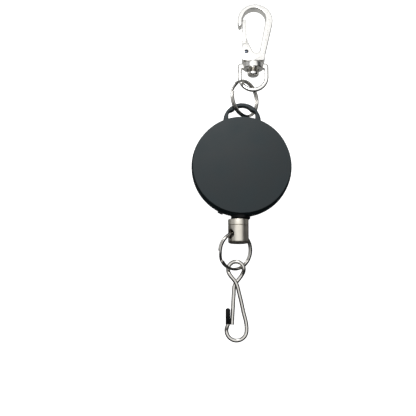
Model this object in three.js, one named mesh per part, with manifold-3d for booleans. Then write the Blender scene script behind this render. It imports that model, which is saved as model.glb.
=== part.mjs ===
// Retractable badge reel: a round spring reel in a two-part case, hung from a snap hook by a split ring,
// with a bent-wire hook on the end of its cord. It lies on its back.
// Units are millimetres. X points right, Y points from the cord outlet to the lug, Z points out of the face.
// The origin is the centre of the flat back, on the reel's own axis.
import * as THREE from 'three';
import { mergeVertices } from 'three/addons/utils/BufferGeometryUtils.js';
import Module from 'manifold-3d';

const wasm = await Module();
wasm.setup();

// ---- driving dimensions ---------------------------------------------------
const CASE_RADIUS = 19.6;
const CASE_BACK_RADIUS = 16.6;      // flat part of the back
const BACK_ROUND_HEIGHT = 5.0;      // the back edge rounds up to the full radius here
const FRONT_ROUND_START = 7.4;      // the front edge starts to round in here
const LEDGE_HEIGHT = 10.1;          // flat ring around the face plate
const LEDGE_RADIUS = 17.9;
const RECESS_RADIUS = 16.95;
const RECESS_FLOOR = 9.5;
const PARTING_HEIGHT = 5.7;         // the covers meet here, at the height of the cord outlet
const SHELL_INSIDE_RADIUS = 18.3;
const FLOOR = 1.3;                  // inside of the back
const ROOF = 8.5;                   // inside of the front
const LIP_RADIUS = 18.2;            // the rear cover's lip goes inside the front cover
const LIP_THICKNESS = 0.65;
const LIP_RISE = 1.2;
const FACE_RADIUS = 16.5;
const FACE_EDGE_TOP = 10.45;
const FACE_CROWN = 0.35;

const LUG_X = 0.24;
const LUG_CENTRE_Y = 17.75;
const LUG_OUTER_RADIUS = 7.4;
const LUG_SLOT_HALF = 5.3;
const LUG_SLOT_SHOULDER_Y = 21.9;   // the slot's top beside its raised middle
const LUG_SLOT_TOP_Y = 23.85;
const LUG_TOP = 9.1;

const OUTLET_X = -0.4;
const OUTLET_Y = -20.6;
const GUIDE_COLLAR_RADIUS = 3.75;
const GUIDE_NECK_RADIUS = 2.8;
const GUIDE_BORE_RADIUS = 1.1;

const POST_RADIUS = 1.5;
const SLEEVE_RADIUS = 2.4;
const RUNNING_GAP = 0.06;
const SPOOL_BOTTOM = 1.85;
const SPOOL_TOP = 7.6;
const SPOOL_RADIUS = 15.5;
const FLANGE = 0.6;
const DRUM_RADIUS = 11.2;
const SPRING_POCKET_RADIUS = 10.2;
const WOUND_RADIUS = 13.1;
const SPRING_STRIP = 0.22;
const SPRING_TURNS = 7;

const CORD_DIAMETER = 0.9;
const CORD_X = -0.85;
const FERRULE_X = -1.3;
const FERRULE_RADIUS = 4.0;
const FERRULE_TOP = -20.65;
const FERRULE_JOINT = -23.05;       // the cap ends and the barrel starts
const FERRULE_BOTTOM = -29.95;
const FERRULE_WALL = 1.0;
const CROSS_HOLE_Y = -26.6;
const CROSS_HOLE_RADIUS = 1.9;
const CROSS_HOLE_TILT = 36;         // degrees about Y, left side up

const RING_MEAN_RADIUS = 7.1;       // both split rings are 15.2 across
const RING_RADIAL = 1.0;
const RING_AXIAL = 1.5;
const LOWER_RING_TILT = 33;         // degrees about Y, left side up
const LOWER_RING_PITCH = 10;        // degrees, the hook end lower
const UPPER_RING_TILT = 45;
const UPPER_RING_CENTRE = [1.42, 27.6, 6.6];

const WIRE_DIAMETER = 1.55;
const HOOK_EYE = [-2.27, -40.0, 3.6];
const HOOK_PITCH = 5.8;
const TIP_DIAMETER = 1.8;

const SNAP_AXIS_X = 4.95;
const SNAP_HEAD_Z = 2.4;            // height of the snap hook's axis above the table at its far end
const SNAP_FAR_Y = 67.4;
const SNAP_PITCH = 4.1;
const SNAP_THICKNESS = 4.6;

// ---- helpers --------------------------------------------------------------
const radians = THREE.MathUtils.degToRad;
const v2 = (x, y) => new THREE.Vector2(x, y);
const v3 = (x, y, z) => new THREE.Vector3(x, y, z);

function toManifold(geometry) {
  const bare = geometry.index ? geometry.toNonIndexed() : geometry.clone();
  bare.deleteAttribute('normal');
  bare.deleteAttribute('uv');
  const merged = mergeVertices(bare, 1e-5);
  const triangles = [];
  const index = merged.index.array;
  for (let i = 0; i < index.length; i += 3) {
    const [a, b, c] = [index[i], index[i + 1], index[i + 2]];
    if (a !== b && b !== c && c !== a) triangles.push(a, b, c);
  }
  return new wasm.Manifold(new wasm.Mesh({
    numProp: 3,
    vertProperties: new Float32Array(merged.attributes.position.array),
    triVerts: new Uint32Array(triangles),
  }));
}

function toGeometry(manifold) {
  const { vertProperties, triVerts } = manifold.getMesh();
  const geometry = new THREE.BufferGeometry();
  geometry.setAttribute('position', new THREE.BufferAttribute(vertProperties, 3));
  geometry.setIndex(new THREE.BufferAttribute(triVerts, 1));
  return geometry;
}

function cut(geometry, ...tools) {
  return toGeometry(tools.reduce((body, tool) => body.subtract(toManifold(tool)), toManifold(geometry)));
}

function join(geometry, ...others) {
  return toGeometry(others.reduce((body, other) => body.add(toManifold(other)), toManifold(geometry)));
}

// A turned piece about Z. The profile runs anticlockwise in (radius, height).
function turned(profile, segments = 48) {
  const points = profile.map(([r, z]) => v2(r, z));
  if (profile[0][0] > 0) points.push(v2(...profile[0]));
  return new THREE.LatheGeometry(points, segments).rotateX(Math.PI / 2);
}

// The same about Y, with the profile's heights along +Y.
function turnedAlongY(profile, segments) {
  return turned(profile, segments).rotateX(-Math.PI / 2);
}

// Points of an elliptical arc, in degrees, as [x, y] pairs.
function arc(cx, cy, rx, ry, from, to, steps) {
  return Array.from({ length: steps + 1 }, (_, i) => {
    const a = radians(from + (to - from) * i / steps);
    return [cx + rx * Math.cos(a), cy + ry * Math.sin(a)];
  });
}

function outline(points) {
  return new THREE.Shape(points.map(([x, y]) => v2(x, y)));
}

// A flat plate lying in XY, from z0 to z1.
function plate(shape, z0, z1) {
  return new THREE.ExtrudeGeometry(shape, { depth: z1 - z0, bevelEnabled: false, curveSegments: 12 })
    .translate(0, 0, z0);
}

function box(x0, x1, y0, y1, z0, z1) {
  return new THREE.BoxGeometry(x1 - x0, y1 - y0, z1 - z0)
    .translate((x0 + x1) / 2, (y0 + y1) / 2, (z0 + z1) / 2);
}

function rod(radius, y0, y1, segments = 24) {
  return new THREE.CylinderGeometry(radius, radius, y1 - y0, segments).translate(0, (y0 + y1) / 2, 0);
}

function wire(points, diameter, steps, sides = 8) {
  const path = new THREE.CatmullRomCurve3(points, false, 'centripetal');
  const section = outline(arc(0, 0, diameter / 2, diameter / 2, 0, 360 - 360 / sides, sides - 1));
  return new THREE.ExtrudeGeometry(section, { steps, extrudePath: path, bevelEnabled: false });
}

function splitRing() {
  const inner = RING_MEAN_RADIUS - RING_RADIAL / 2;
  const outer = RING_MEAN_RADIUS + RING_RADIAL / 2;
  const half = RING_AXIAL / 2;
  const seam = 0.1;               // the two coils meet in a shallow groove
  return turned([
    [inner, -half], [outer, -half], [outer, -seam], [outer - seam, 0], [outer, seam],
    [outer, half], [inner, half], [inner, seam], [inner + seam, 0], [inner, -seam],
  ], 32);
}

// ---- materials ------------------------------------------------------------
const material = (color, roughness, metalness) =>
  new THREE.MeshStandardMaterial({ color, roughness, metalness });
const CASE_PLASTIC = material(0x202a2e, 0.5, 0);
const FACE_PLASTIC = material(0x37474f, 0.45, 0);
const INNER_PLASTIC = material(0xe4e2da, 0.6, 0);
const BLACK_PLASTIC = material(0x101214, 0.5, 0);
const NICKEL = material(0xd7d5d0, 0.2, 1);
const STEEL = material(0xb9bcc0, 0.35, 1);
const SPRING_STEEL = material(0x6f7278, 0.35, 1);
const CORD_NYLON = material(0x16181a, 0.8, 0);

const reel = new THREE.Group();

function add(parent, name, geometry, look) {
  const mesh = new THREE.Mesh(geometry, look);
  mesh.name = name;
  parent.add(mesh);
  return mesh;
}

// ---- case -----------------------------------------------------------------
// The full outside of the case, grown a little to cut its neighbours clear.
function caseEnvelope(grow) {
  return turned([
    [0, -1], [CASE_BACK_RADIUS + grow, -1],
    ...arc(CASE_BACK_RADIUS, BACK_ROUND_HEIGHT, CASE_RADIUS - CASE_BACK_RADIUS + grow,
      BACK_ROUND_HEIGHT + grow, -90, 0, 8),
    ...arc(LEDGE_RADIUS, FRONT_ROUND_START, CASE_RADIUS - LEDGE_RADIUS + grow,
      LEDGE_HEIGHT - FRONT_ROUND_START + grow, 0, 90, 6),
    [0, LEDGE_HEIGHT + grow],
  ], 48);
}

const outletAt = (geometry) => geometry.translate(OUTLET_X, 0, PARTING_HEIGHT);

// The hole for the cord guide: its neck through the wall, its inner flange against the inside.
const guideNeckHole = () => outletAt(rod(GUIDE_NECK_RADIUS + 0.05, -21, -15));
const guideFlangePocket = () => box(OUTLET_X - 3.7, OUTLET_X + 3.7, -18.2, -16, FLOOR, ROOF);

const rearCover = cut(
  turned([
    [0, 0], [CASE_BACK_RADIUS, 0],
    ...arc(CASE_BACK_RADIUS, BACK_ROUND_HEIGHT, CASE_RADIUS - CASE_BACK_RADIUS, BACK_ROUND_HEIGHT, -75, 0, 5),
    [CASE_RADIUS, PARTING_HEIGHT - 0.03],
    [LIP_RADIUS, PARTING_HEIGHT - 0.03], [LIP_RADIUS, PARTING_HEIGHT + LIP_RISE],
    [LIP_RADIUS - LIP_THICKNESS, PARTING_HEIGHT + LIP_RISE],
    [LIP_RADIUS - LIP_THICKNESS, 4.2], [16.6, 2.1], [15.8, FLOOR],
    [4.6, FLOOR], [4.6, FLOOR + 0.1], [POST_RADIUS, FLOOR + 0.1],
    [POST_RADIUS, 7.7], [0.75, 7.7], [0.75, 3.0], [0, 3.0],
  ], 48),
  guideNeckHole(), guideFlangePocket(),
);

// A small pry tab stands out of the rear cover's rim beside the outlet.
const PRY_TAB_ANGLE = 245;
const pryTab = box(CASE_RADIUS - 0.8, CASE_RADIUS + 0.45, -1.1, 1.1, 3.6, PARTING_HEIGHT - 0.03)
  .rotateZ(radians(PRY_TAB_ANGLE));
add(reel, 'rear_cover', join(rearCover, pryTab), CASE_PLASTIC);

const frontShell = turned([
  [0.8, ROOF - 0.55], [3.2, ROOF - 0.55], [3.2, ROOF], [17.6, ROOF], [SHELL_INSIDE_RADIUS, ROOF - 0.7],
  [SHELL_INSIDE_RADIUS, PARTING_HEIGHT + 0.03], [CASE_RADIUS, PARTING_HEIGHT + 0.03],
  ...arc(LEDGE_RADIUS, FRONT_ROUND_START, CASE_RADIUS - LEDGE_RADIUS, LEDGE_HEIGHT - FRONT_ROUND_START,
    0, 90, 6),
  [RECESS_RADIUS, LEDGE_HEIGHT], [RECESS_RADIUS, RECESS_FLOOR],
  [2.2, RECESS_FLOOR], [2.2, RECESS_FLOOR - 0.9], [0.8, RECESS_FLOOR - 0.9],
], 48);

// The lug is an arch over a slot, moulded on the front cover's rim.
const lugArch = plate(outline([
  ...arc(LUG_X, LUG_CENTRE_Y, LUG_OUTER_RADIUS, LUG_OUTER_RADIUS, -8, 188, 26),
  [LUG_X, 15],
]), PARTING_HEIGHT + 0.03, LUG_TOP);
const lugSlot = plate(outline([
  [LUG_X - LUG_SLOT_HALF, 15], [LUG_X + LUG_SLOT_HALF, 15],
  ...arc(LUG_X + LUG_SLOT_HALF - 1, LUG_SLOT_SHOULDER_Y - 1, 1, 1, 0, 90, 4),
  ...arc(LUG_X, LUG_SLOT_SHOULDER_Y, 3.3, LUG_SLOT_TOP_Y - LUG_SLOT_SHOULDER_Y, 15, 165, 12),
  ...arc(LUG_X - LUG_SLOT_HALF + 1, LUG_SLOT_SHOULDER_Y - 1, 1, 1, 90, 180, 4),
]), 0, 12);
const lug = cut(lugArch, lugSlot, turned([[0, 0], [19.0, 0], [19.0, 12], [0, 12]], 48));
add(reel, 'front_cover', cut(join(frontShell, lug), guideNeckHole(), guideFlangePocket()), CASE_PLASTIC);

add(reel, 'face_plate', turned([
  [0, RECESS_FLOOR + 0.03], [FACE_RADIUS, RECESS_FLOOR + 0.03], [FACE_RADIUS, FACE_EDGE_TOP - 0.35],
  [FACE_RADIUS - 0.12, FACE_EDGE_TOP - 0.12], [FACE_RADIUS - 0.45, FACE_EDGE_TOP],
  [10, FACE_EDGE_TOP + FACE_CROWN * 0.65], [0, FACE_EDGE_TOP + FACE_CROWN],
], 48), FACE_PLASTIC);

// The cord guide is a bush trapped between the covers; its collar fits the rim from outside.
const guideCollar = cut(outletAt(turnedAlongY([
  [0, OUTLET_Y], [GUIDE_COLLAR_RADIUS - 0.5, OUTLET_Y], [GUIDE_COLLAR_RADIUS, OUTLET_Y + 0.5],
  [GUIDE_COLLAR_RADIUS, -18.0], [0, -18.0],
], 32)), caseEnvelope(0.05));
const guideNeck = outletAt(rod(GUIDE_NECK_RADIUS, -20, -17.4));
const guideFlange = box(OUTLET_X - 3.5, OUTLET_X + 3.5, -17.4, -16.6, FLOOR + 0.2, ROOF - 0.2);
const guideBore = outletAt(turnedAlongY([
  [0, -21], [1.5, -21], [GUIDE_BORE_RADIUS, -20.2], [GUIDE_BORE_RADIUS, -17.6],
  [2.2, -16.5], [2.2, -16], [0, -16],
], 24));
add(reel, 'cord_guide', cut(join(guideCollar, guideNeck, guideFlange), guideBore), BLACK_PLASTIC);

// ---- spindle --------------------------------------------------------------
const sleeve = cut(
  turned([
    [POST_RADIUS + 0.05, 1.45], [SLEEVE_RADIUS, 1.45], [SLEEVE_RADIUS, 7.9], [POST_RADIUS + 0.05, 7.9],
  ], 32),
  box(0, 3, -0.25, 0.25, 3.0, 8.2),
);
add(reel, 'axle_sleeve', sleeve, STEEL);

const SCREW_SEAT = RECESS_FLOOR - 0.88;
const screw = cut(
  turned([
    [0, 3.6], [0.5, 3.6], [0.7, 4.2], [0.7, SCREW_SEAT], [2.0, SCREW_SEAT], [2.0, SCREW_SEAT + 0.45],
    [1.3, SCREW_SEAT + 0.8], [0, SCREW_SEAT + 0.8],
  ], 24),
  box(-1.0, 1.0, -0.18, 0.18, SCREW_SEAT + 0.3, SCREW_SEAT + 1),
  box(-0.18, 0.18, -1.0, 1.0, SCREW_SEAT + 0.3, SCREW_SEAT + 1),
);
add(reel, 'axle_screw', screw, STEEL);

add(reel, 'thrust_washer', turned([
  [SLEEVE_RADIUS + RUNNING_GAP, 1.45], [4.5, 1.45], [4.5, 1.75], [SLEEVE_RADIUS + RUNNING_GAP, 1.75],
], 32), INNER_PLASTIC);

// ---- spool ----------------------------------------------------------------
const HUB_BORE = SLEEVE_RADIUS + RUNNING_GAP;
const COVER_SEAT = SPOOL_TOP - 0.55;
add(reel, 'spool_drum', turned([
  [HUB_BORE, SPOOL_BOTTOM], [SPOOL_RADIUS, SPOOL_BOTTOM], [SPOOL_RADIUS, SPOOL_BOTTOM + FLANGE],
  [DRUM_RADIUS, SPOOL_BOTTOM + FLANGE], [DRUM_RADIUS, SPOOL_TOP - FLANGE], [SPOOL_RADIUS, SPOOL_TOP - FLANGE],
  [SPOOL_RADIUS, SPOOL_TOP], [SPRING_POCKET_RADIUS + 0.4, SPOOL_TOP],
  [SPRING_POCKET_RADIUS + 0.4, COVER_SEAT],
  [SPRING_POCKET_RADIUS, COVER_SEAT], [SPRING_POCKET_RADIUS, SPOOL_BOTTOM + FLANGE],
  [HUB_BORE, SPOOL_BOTTOM + FLANGE],
], 48), INNER_PLASTIC);

add(reel, 'spring_cover', turned([
  [HUB_BORE, COVER_SEAT + 0.05], [SPRING_POCKET_RADIUS + 0.35, COVER_SEAT + 0.05],
  [SPRING_POCKET_RADIUS + 0.35, SPOOL_TOP - 0.05], [HUB_BORE, SPOOL_TOP - 0.05],
], 40), STEEL);

// The power spring is a flat strip wound in a spiral from the sleeve's slot to the drum's wall.
function spiral(side) {
  const start = SLEEVE_RADIUS + 0.35;
  const end = SPRING_POCKET_RADIUS - 0.35;
  const steps = SPRING_TURNS * 16;
  return Array.from({ length: steps + 1 }, (_, i) => {
    const t = i / steps;
    const r = start + (end - start) * t + side * SPRING_STRIP / 2;
    const a = t * SPRING_TURNS * 2 * Math.PI;
    return [r * Math.cos(a), r * Math.sin(a)];
  });
}
add(reel, 'power_spring', plate(outline([...spiral(1), ...spiral(-1).reverse()]), 2.75, 6.75), SPRING_STEEL);

add(reel, 'wound_cord', turned([
  [DRUM_RADIUS + 0.05, SPOOL_BOTTOM + FLANGE + 0.1], [WOUND_RADIUS - 0.3, SPOOL_BOTTOM + FLANGE + 0.1],
  [WOUND_RADIUS, SPOOL_BOTTOM + FLANGE + 0.6], [WOUND_RADIUS, SPOOL_TOP - FLANGE - 0.6],
  [WOUND_RADIUS - 0.3, SPOOL_TOP - FLANGE - 0.1], [DRUM_RADIUS + 0.05, SPOOL_TOP - FLANGE - 0.1],
], 40), CORD_NYLON);

// ---- cord end -------------------------------------------------------------
// The cord leaves the winding at a tangent, bends in the guide and runs straight to the crimp in the ferrule.
const CRIMP_TOP = FERRULE_JOINT - 0.25;
add(reel, 'cord_lead', wire([
  v3(-8.55, -10.95, PARTING_HEIGHT), v3(-6.6, -12.4, PARTING_HEIGHT), v3(-4.4, -14.05, PARTING_HEIGHT),
  v3(-2.4, -15.6, PARTING_HEIGHT), v3(-1.35, -16.7, PARTING_HEIGHT), v3(CORD_X - 0.05, -18, PARTING_HEIGHT),
  v3(CORD_X, -19.5, PARTING_HEIGHT), v3(CORD_X, -21.5, PARTING_HEIGHT),
  v3(CORD_X, CRIMP_TOP + 0.05, PARTING_HEIGHT),
], CORD_DIAMETER, 14), CORD_NYLON);

const cordEnd = new THREE.Group();
cordEnd.position.set(FERRULE_X, 0, PARTING_HEIGHT);
reel.add(cordEnd);
add(cordEnd, 'cord_crimp', turnedAlongY([
  [0, CRIMP_TOP - 1.0], [1.2, CRIMP_TOP - 1.0], [1.7, CRIMP_TOP - 0.7], [1.7, CRIMP_TOP - 0.3],
  [1.2, CRIMP_TOP], [0, CRIMP_TOP],
], 20), STEEL);

// ---- ferrule --------------------------------------------------------------
add(cordEnd, 'ferrule_cap', turnedAlongY([
  [1.1, FERRULE_JOINT], [2.05, FERRULE_JOINT], [2.05, FERRULE_JOINT - 0.75], [2.85, FERRULE_JOINT - 0.75],
  [2.85, FERRULE_JOINT], [FERRULE_RADIUS, FERRULE_JOINT], [FERRULE_RADIUS, FERRULE_TOP - 0.25],
  [FERRULE_RADIUS - 0.25, FERRULE_TOP], [1.1, FERRULE_TOP],
], 36), NICKEL);

const BARREL_TOP = FERRULE_JOINT - 0.06;
const crossHole = rod(CROSS_HOLE_RADIUS, -6, 6)
  .rotateZ(Math.PI / 2).rotateY(radians(CROSS_HOLE_TILT)).translate(0, CROSS_HOLE_Y, 0);
add(cordEnd, 'ferrule_barrel', cut(turnedAlongY([
  [0, FERRULE_BOTTOM], [FERRULE_RADIUS - 0.7, FERRULE_BOTTOM], [FERRULE_RADIUS - 0.2, FERRULE_BOTTOM + 0.2],
  [FERRULE_RADIUS, FERRULE_BOTTOM + 0.7], [FERRULE_RADIUS, BARREL_TOP - 0.2],
  [FERRULE_RADIUS - 0.15, BARREL_TOP],
  [FERRULE_RADIUS - FERRULE_WALL, BARREL_TOP], [FERRULE_RADIUS - FERRULE_WALL, FERRULE_BOTTOM + 1.0],
  [0, FERRULE_BOTTOM + 1.0],
], 36), crossHole), NICKEL);

// ---- lower split ring, through the ferrule's cross hole ----------------------
const lowerRing = new THREE.Group();
lowerRing.position.set(FERRULE_X, CROSS_HOLE_Y, PARTING_HEIGHT);
lowerRing.rotation.set(radians(LOWER_RING_PITCH), radians(LOWER_RING_TILT), 0, 'YXZ');
reel.add(lowerRing);
const LOWER_RING_SHIFT = -0.7;
const LOWER_RING_RISE = 0.7;
add(lowerRing, 'lower_split_ring', splitRing(), NICKEL)
  .position.set(LOWER_RING_SHIFT, LOWER_RING_RISE - RING_MEAN_RADIUS, 0);

// ---- wire hook --------------------------------------------------------------
// One bent wire: the latch leg crosses under the other leg at the neck.
const EYE_RADIUS = 3.05;
const NECK_Y = -5.17;
const CROSSING = 0.85;              // half the distance between the two wires at the neck
const EYE_TWIST = 0.45;             // the eye leans against the ring that passes through it
const LOOP_RADIUS = 3.9;
const LOOP_X = 0.2;
const LOOP_Y = -23.5;
const wireHook = new THREE.Group();
wireHook.position.set(...HOOK_EYE);
wireHook.rotation.x = radians(HOOK_PITCH);
reel.add(wireHook);

const eyeArc = arc(0, 0, EYE_RADIUS, EYE_RADIUS, -32, 212, 8)
  .map(([x, y], i) => {
    const t = i / 4 - 1;            // -1 on the latch side of the neck, 1 on the other
    return v3(x, y, CROSSING * 0.8 * t ** 5 - EYE_TWIST * Math.sin(Math.PI * t));
  });
const loopArc = arc(LOOP_X, LOOP_Y, LOOP_RADIUS, LOOP_RADIUS, 0, -180, 6).map(([x, y]) => v3(x, y, 0));
const mainWire = wire([
  v3(-0.5, -6.25, -CROSSING), v3(0, NECK_Y, -CROSSING),
  ...eyeArc,
  v3(0, NECK_Y, CROSSING), v3(1.3, -9.5, 0.55), v3(2.7, -15.6, 0.15),
  ...loopArc,
  v3(-3.5, -22.3, 0.3), v3(-3.15, -21.2, 0.5),
], WIRE_DIAMETER, 60);
const spigot = rod(0.55, -21.3, -17.5, 8).translate(-3.13, 0, 0.5);
add(wireHook, 'wire_hook', join(mainWire, spigot), NICKEL);

const tipSleeve = cut(
  turnedAlongY([
    [0, -21.1], [TIP_DIAMETER / 2, -21.1], [TIP_DIAMETER / 2, -15.5], [TIP_DIAMETER / 3, -15.0], [0, -14.85],
  ], 12),
  rod(0.6, -22, -17.3, 12),
).translate(-3.13, 0, 0.5);
add(wireHook, 'hook_tip', cut(tipSleeve, mainWire), BLACK_PLASTIC);

add(wireHook, 'hook_latch', wire([
  v3(-0.62, -6.6, -CROSSING), v3(-0.85, -9.5, -0.75), v3(-1.2, -15.3, -0.55), v3(-1.55, -21.3, -0.45),
], WIRE_DIAMETER, 12), NICKEL);

// ---- upper split ring, through the lug's slot ---------------------------------
const upperRing = add(reel, 'upper_split_ring', splitRing(), NICKEL);
upperRing.position.set(...UPPER_RING_CENTRE);
upperRing.rotation.y = radians(UPPER_RING_TILT);

// ---- snap hook and its swivel eye ----------------------------------------------
// Its group's Y axis is the swivel's axis; distances along it are measured from the reel's centre.
const snap = new THREE.Group();
snap.position.set(SNAP_AXIS_X, SNAP_FAR_Y, SNAP_HEAD_Z);
snap.rotation.x = -radians(SNAP_PITCH);
reel.add(snap);
const snapFrame = new THREE.Group();
snapFrame.position.y = -SNAP_FAR_Y;
snap.add(snapFrame);

const D_OUTER = 6.15;
const D_INNER = 4.55;
const D_CENTRE_Y = 36.9;
const D_BAR_BOTTOM = 40.15;
const D_BAR_TOP = 42.55;
const EYE_BOSS_RADIUS = 4.15;       // a round boss about the swivel's axis
const dOutline = outline([
  [D_OUTER, D_BAR_TOP - 0.6], [D_OUTER - 0.6, D_BAR_TOP],
  [0.6 - D_OUTER, D_BAR_TOP], [-D_OUTER, D_BAR_TOP - 0.6],
  ...arc(0, D_CENTRE_Y, D_OUTER, D_OUTER, 180, 360, 18),
]);
dOutline.holes.push(new THREE.Path([
  [D_INNER, D_BAR_BOTTOM], ...arc(0, D_CENTRE_Y, D_INNER, D_INNER, 0, -180, 14), [-D_INNER, D_BAR_BOTTOM],
].map(([x, y]) => v2(x, y))));
const dLoop = new THREE.ExtrudeGeometry(dOutline, {
  depth: 1.0, bevelThickness: 0.4, bevelSize: 0.35, bevelOffset: -0.35, bevelSegments: 2,
}).translate(0, 0, -0.5);
const eyeBoss = turnedAlongY([
  [0, D_BAR_BOTTOM], [EYE_BOSS_RADIUS - 0.25, D_BAR_BOTTOM], [EYE_BOSS_RADIUS, D_BAR_BOTTOM + 0.25],
  [EYE_BOSS_RADIUS, D_BAR_TOP - 0.25], [EYE_BOSS_RADIUS - 0.25, D_BAR_TOP], [0, D_BAR_TOP],
], 32);
const headRecess = rod(2.9, 39, D_BAR_BOTTOM + 0.5);
const STUD_RADIUS = 1.5;
const studBore = rod(STUD_RADIUS + RUNNING_GAP, 40, 44);
add(snapFrame, 'swivel_eye', cut(join(dLoop, eyeBoss), headRecess, studBore), NICKEL);

const BODY_BOTTOM = 43.15;
const BODY_CENTRE_X = 0.95;
const BODY_TOP_CENTRE_Y = 60.35;
const BODY_TOP_RADIUS = 7.05;
const OPENING_RADIUS = 4.55;
const OPENING_X = 0.65;
const OPENING_Y = 61.2;
const PIN = [-2.72, 47.0];
const bodyOutline = outline([
  [-4.0, BODY_BOTTOM], [4.1, BODY_BOTTOM], [4.7, BODY_BOTTOM + 0.6], [4.85, 46],
  ...arc(BODY_CENTRE_X, BODY_TOP_CENTRE_Y, BODY_TOP_RADIUS, BODY_TOP_RADIUS, -14, 197, 26),
  [-5.35, 57.75], [-4.35, 58.4], [-4.3, 61.1],
  ...arc(OPENING_X, OPENING_Y, OPENING_RADIUS, OPENING_RADIUS, 158, -12, 18),
  [2.95, 48.9], ...arc(1.25, 48.1, 1.65, 1.65, -8, -148, 7), [-1.6, 50.3], [-2.5, 50.9],
  [-4.2, 50.3], [-4.45, 49.0], [-4.45, BODY_BOTTOM + 0.5],
]);
const hookPlate = new THREE.ExtrudeGeometry(bodyOutline, {
  depth: SNAP_THICKNESS - 1.4, bevelThickness: 0.7, bevelSize: 0.6, bevelOffset: -0.6, bevelSegments: 2,
}).translate(0, 0, -SNAP_THICKNESS / 2 + 0.7);
const GATE_SLOT = 1.05;             // half the width of the slot that the gate's root turns in
const boss = rod(2.6, D_BAR_TOP + 0.2, BODY_BOTTOM + 0.4);
const gateSlot = box(-6, -0.2, 44.9, 52, -GATE_SLOT, GATE_SLOT);
const pinHole = new THREE.CylinderGeometry(0.87, 0.87, 8, 20).rotateX(Math.PI / 2).translate(...PIN, 0);
add(snapFrame, 'snap_hook_body', cut(
  join(hookPlate, boss), gateSlot, pinHole, rod(STUD_RADIUS + 0.03, 42, 45.7),
), NICKEL);

add(snapFrame, 'swivel_stud', turnedAlongY([
  [0, 37.1], [1.3, 37.15], [2.1, 37.6], [2.35, 38.3], [2.2, 38.9], [1.75, 39.4], [1.75, D_BAR_BOTTOM + 0.4],
  [STUD_RADIUS, D_BAR_BOTTOM + 0.4], [STUD_RADIUS, 45.6], [0, 45.6],
], 24), NICKEL);

add(snapFrame, 'gate_pin', new THREE.CylinderGeometry(0.84, 0.84, SNAP_THICKNESS + 0.3, 20)
  .rotateX(Math.PI / 2).translate(...PIN, 0), STEEL);

// The gate: a thick bar beside the nose, with a thin root on the pin.
const gateBar = new THREE.ExtrudeGeometry(outline([
  [-4.25, 51.4], [-2.55, 51.4], [-2.6, 60.4], [-3.2, 61.05], [-4.15, 60.6], [-4.22, 58.3],
]), {
  depth: 2.4, bevelThickness: 0.4, bevelSize: 0.3, bevelOffset: -0.3, bevelSegments: 1,
}).translate(0, 0, -1.2);
const gateRoot = plate(outline([
  ...arc(PIN[0], PIN[1], 1.5, 1.5, -180, 0, 8), [-1.5, 50.5], [-2.3, 53], [-4.2, 53],
]), -0.95, 0.95);
const gatePinHole = new THREE.CylinderGeometry(0.9, 0.9, 8, 20).rotateX(Math.PI / 2).translate(...PIN, 0);
add(snapFrame, 'gate', cut(join(gateBar, gateRoot), gatePinHole), NICKEL);

// The gate spring is a bent strip behind the gate's root, inside the slot.
add(snapFrame, 'gate_spring', plate(outline([
  [-0.85, 45.9], [-0.6, 45.9], [-0.6, 47.4], [-1.0, 49.6], [-1.22, 49.6], [-0.85, 47.4],
]), -0.7, 0.7), SPRING_STEEL);

export default reel;
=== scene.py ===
import math

import bpy
from mathutils import Matrix, Vector


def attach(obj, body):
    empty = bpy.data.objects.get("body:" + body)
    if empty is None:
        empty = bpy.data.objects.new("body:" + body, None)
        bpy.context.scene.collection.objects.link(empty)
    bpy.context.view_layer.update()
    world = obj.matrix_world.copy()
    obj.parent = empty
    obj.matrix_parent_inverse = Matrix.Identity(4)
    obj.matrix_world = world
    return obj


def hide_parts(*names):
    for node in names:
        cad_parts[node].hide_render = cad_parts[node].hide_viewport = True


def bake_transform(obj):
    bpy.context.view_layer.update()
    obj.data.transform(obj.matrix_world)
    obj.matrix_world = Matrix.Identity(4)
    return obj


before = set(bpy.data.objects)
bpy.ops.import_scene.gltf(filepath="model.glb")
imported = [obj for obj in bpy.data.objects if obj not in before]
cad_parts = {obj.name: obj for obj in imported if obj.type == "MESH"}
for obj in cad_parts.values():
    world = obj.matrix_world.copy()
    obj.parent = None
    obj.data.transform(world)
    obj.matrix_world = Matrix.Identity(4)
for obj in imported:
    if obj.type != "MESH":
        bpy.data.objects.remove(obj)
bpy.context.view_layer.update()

MM = 0.001

# ---- camera --------------------------------------------------------------------------
# The camera stands 384 mm over the reel, a little towards the hook on the cord, and looks
# back along the reel. No part of the cord hangs free: it is all wound in or inside the ferrule.
CAMERA_PLACE = (-0.013108, -0.076033, 0.384)
CAMERA_TILT = 9
bpy.ops.object.camera_add(location=CAMERA_PLACE, rotation=(math.radians(CAMERA_TILT), 0, 0))
camera = bpy.context.object
camera.data.lens = 85
camera.data.sensor_width = 36
camera.data.clip_start = 0.01
bpy.context.scene.camera = camera

# ---- rear cover ----------------------------------------------------------------------
# The dish of the case, injection moulded in black ABS. Its back edge is rounded, its lip goes
# inside the front cover, its post carries the spindle, and a small pry tab stands on its rim.
CASE_RADIUS = 19.6
BACK_FLAT_RADIUS = 16.6
BACK_ROUND_WIDTH = CASE_RADIUS - BACK_FLAT_RADIUS
BACK_ROUND_HEIGHT = 5.0
PARTING_HEIGHT = 5.7
PARTING_GAP = 0.03
REAR_EDGE = PARTING_HEIGHT - PARTING_GAP
EDGE_BREAK = 0.12
LIP_RADIUS = 18.2
LIP_THICKNESS = 0.65
LIP_INSIDE_RADIUS = LIP_RADIUS - LIP_THICKNESS
LIP_TOP = PARTING_HEIGHT + 1.2
FLOOR = 1.3
POST_RADIUS = 1.5
POST_TOP = 7.7
POST_BORE_RADIUS = 0.75
OUTLET_X = -0.4
GUIDE_NECK_RADIUS = 2.8
PRY_TAB_ANGLE = 245
PRY_TAB_SIZE = (1.3, 2.2, 2.0)
PRY_TAB_HEIGHT = 4.65
PRY_TAB_SINK = 0.2
ROUND_SIDES = 128


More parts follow.
